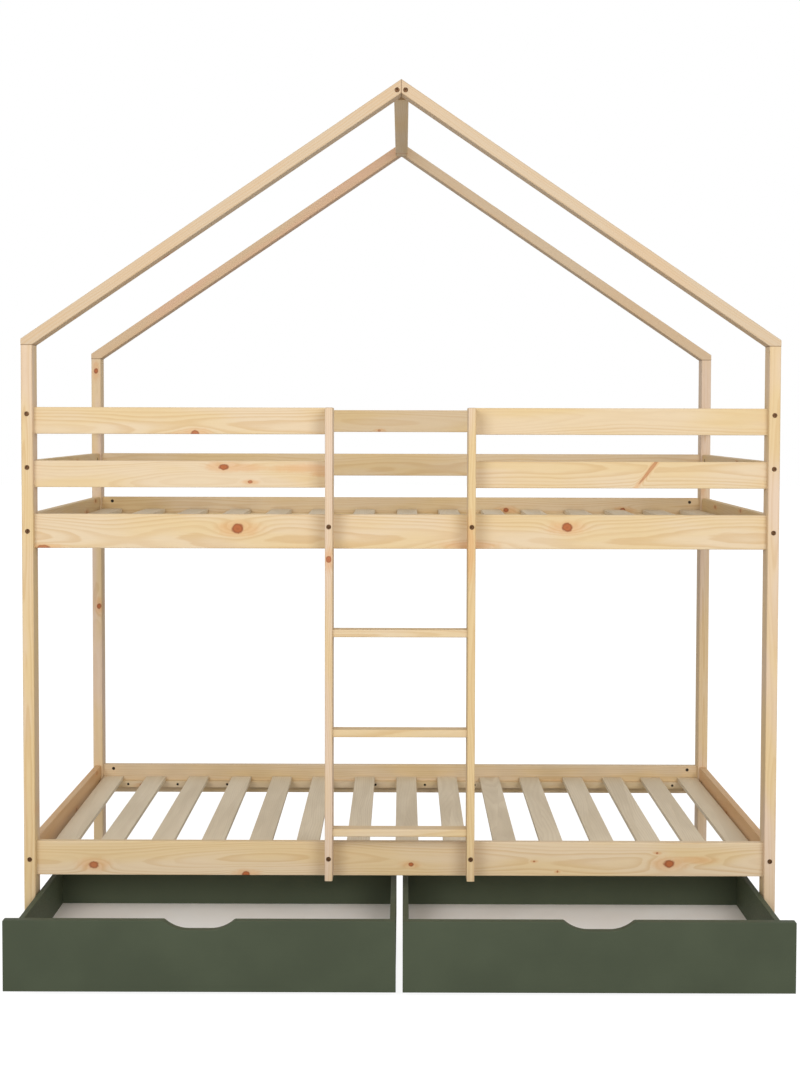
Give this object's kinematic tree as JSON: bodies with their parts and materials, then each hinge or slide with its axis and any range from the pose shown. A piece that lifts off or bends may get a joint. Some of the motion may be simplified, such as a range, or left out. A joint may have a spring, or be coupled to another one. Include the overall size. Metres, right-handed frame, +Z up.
{
  "type": "house bunk bed",
  "caption": "Pine bunk bed with a house-shaped roof frame, slatted upper and lower beds, guard rails, a fixed front ladder and two rolling under-bed drawers.",
  "frame": {"origin": "on the floor, under the middle of the box round the whole bed with its drawers pulled out as at rest", "axes": "+X along the bed to the right as seen from the front, +Y from the front to the back, +Z up"},
  "size_m": [1.98, 1.209, 2.3244],
  "materials": {
    "post_pine": "clear satin pine, lighter and pinker boards",
    "rail_pine": "clear satin pine, golden boards with small knots",
    "slat_pine": "planed unfinished pine",
    "dowel_beech": "plain fluteless dowels",
    "green_painted_wood": "matt dark olive paint",
    "drawer_floor_board": "plain light board",
    "zinc_steel": "zinc plated",
    "wheel_plastic": "dark moulded plastic"
  },
  "bodies": {
    "bed_frame": {"barrel_nuts": "zinc_steel", "dowels": "dowel_beech", "guard_back_lower": "rail_pine", "guard_back_upper": "rail_pine", "guard_front_left_lower": "rail_pine", "guard_front_left_upper": "rail_pine", "guard_front_right_lower": "rail_pine", "guard_front_right_upper": "rail_pine", "guard_left_lower": "rail_pine", "guard_left_upper": "rail_pine", "guard_right_lower": "rail_pine", "guard_right_upper": "rail_pine", "ladder_rung_bottom": "rail_pine", "ladder_rung_middle": "rail_pine", "ladder_rung_top": "rail_pine", "ladder_stile_left": "rail_pine", "ladder_stile_right": "rail_pine", "ledger_screws": "zinc_steel", "long_bolts": "zinc_steel", "long_screws": "zinc_steel", "lower_ledgers": "rail_pine", "lower_rail_back": "rail_pine", "lower_rail_front": "rail_pine", "lower_rail_left": "rail_pine", "lower_rail_right": "rail_pine", "lower_slats": "slat_pine", "post_back_left": "post_pine", "post_back_right": "post_pine", "post_front_left": "post_pine", "post_front_right": "post_pine", "rafter_back_left": "post_pine", "rafter_back_right": "post_pine", "rafter_front_left": "post_pine", "rafter_front_right": "post_pine", "ridge_beam": "rail_pine", "short_bolts": "zinc_steel", "upper_ledgers": "rail_pine", "upper_rail_back": "rail_pine", "upper_rail_front": "rail_pine", "upper_rail_left": "rail_pine", "upper_rail_right": "rail_pine", "upper_slats": "slat_pine"},
    "drawer_left": {"drawer_left_back": "green_painted_wood", "drawer_left_castors": "zinc_steel", "drawer_left_dowels": "dowel_beech", "drawer_left_floor": "drawer_floor_board", "drawer_left_front": "green_painted_wood", "drawer_left_inner_side": "green_painted_wood", "drawer_left_outer_side": "green_painted_wood"},
    "drawer_left_front_wheels": {"drawer_left_front_wheels": "wheel_plastic"},
    "drawer_left_back_wheels": {"drawer_left_back_wheels": "wheel_plastic"},
    "drawer_right": {"drawer_right_back": "green_painted_wood", "drawer_right_castors": "zinc_steel", "drawer_right_dowels": "dowel_beech", "drawer_right_floor": "drawer_floor_board", "drawer_right_front": "green_painted_wood", "drawer_right_inner_side": "green_painted_wood", "drawer_right_outer_side": "green_painted_wood"},
    "drawer_right_front_wheels": {"drawer_right_front_wheels": "wheel_plastic"},
    "drawer_right_back_wheels": {"drawer_right_back_wheels": "wheel_plastic"}
  },
  "joints": [
    {"name": "drawer_left_slide", "type": "slide", "parent": "bed_frame", "child": "drawer_left", "axis": [0, 1, 0], "range_m": [-0.246, 0.2085]},
    {"name": "drawer_left_front_wheels_spin", "type": "hinge", "parent": "drawer_left", "child": "drawer_left_front_wheels", "pos_m": [0, -0.5345, 0.03], "axis": [1, 0, 0], "continuous": true},
    {"name": "drawer_left_back_wheels_spin", "type": "hinge", "parent": "drawer_left", "child": "drawer_left_back_wheels", "pos_m": [0, -0.1945, 0.03], "axis": [1, 0, 0], "continuous": true},
    {"name": "drawer_right_slide", "type": "slide", "parent": "bed_frame", "child": "drawer_right", "axis": [0, 1, 0], "range_m": [-0.246, 0.2085]},
    {"name": "drawer_right_front_wheels_spin", "type": "hinge", "parent": "drawer_right", "child": "drawer_right_front_wheels", "pos_m": [0, -0.5345, 0.03], "axis": [1, 0, 0], "continuous": true},
    {"name": "drawer_right_back_wheels_spin", "type": "hinge", "parent": "drawer_right", "child": "drawer_right_back_wheels", "pos_m": [0, -0.1945, 0.03], "axis": [1, 0, 0], "continuous": true}
  ],
  "couplings": [
    {"joint": "drawer_left_front_wheels_spin", "follows": "drawer_left_slide", "rad_per_m": -33.333},
    {"joint": "drawer_left_back_wheels_spin", "follows": "drawer_left_slide", "rad_per_m": -33.333},
    {"joint": "drawer_right_front_wheels_spin", "follows": "drawer_right_slide", "rad_per_m": -33.333},
    {"joint": "drawer_right_back_wheels_spin", "follows": "drawer_right_slide", "rad_per_m": -33.333}
  ]
}
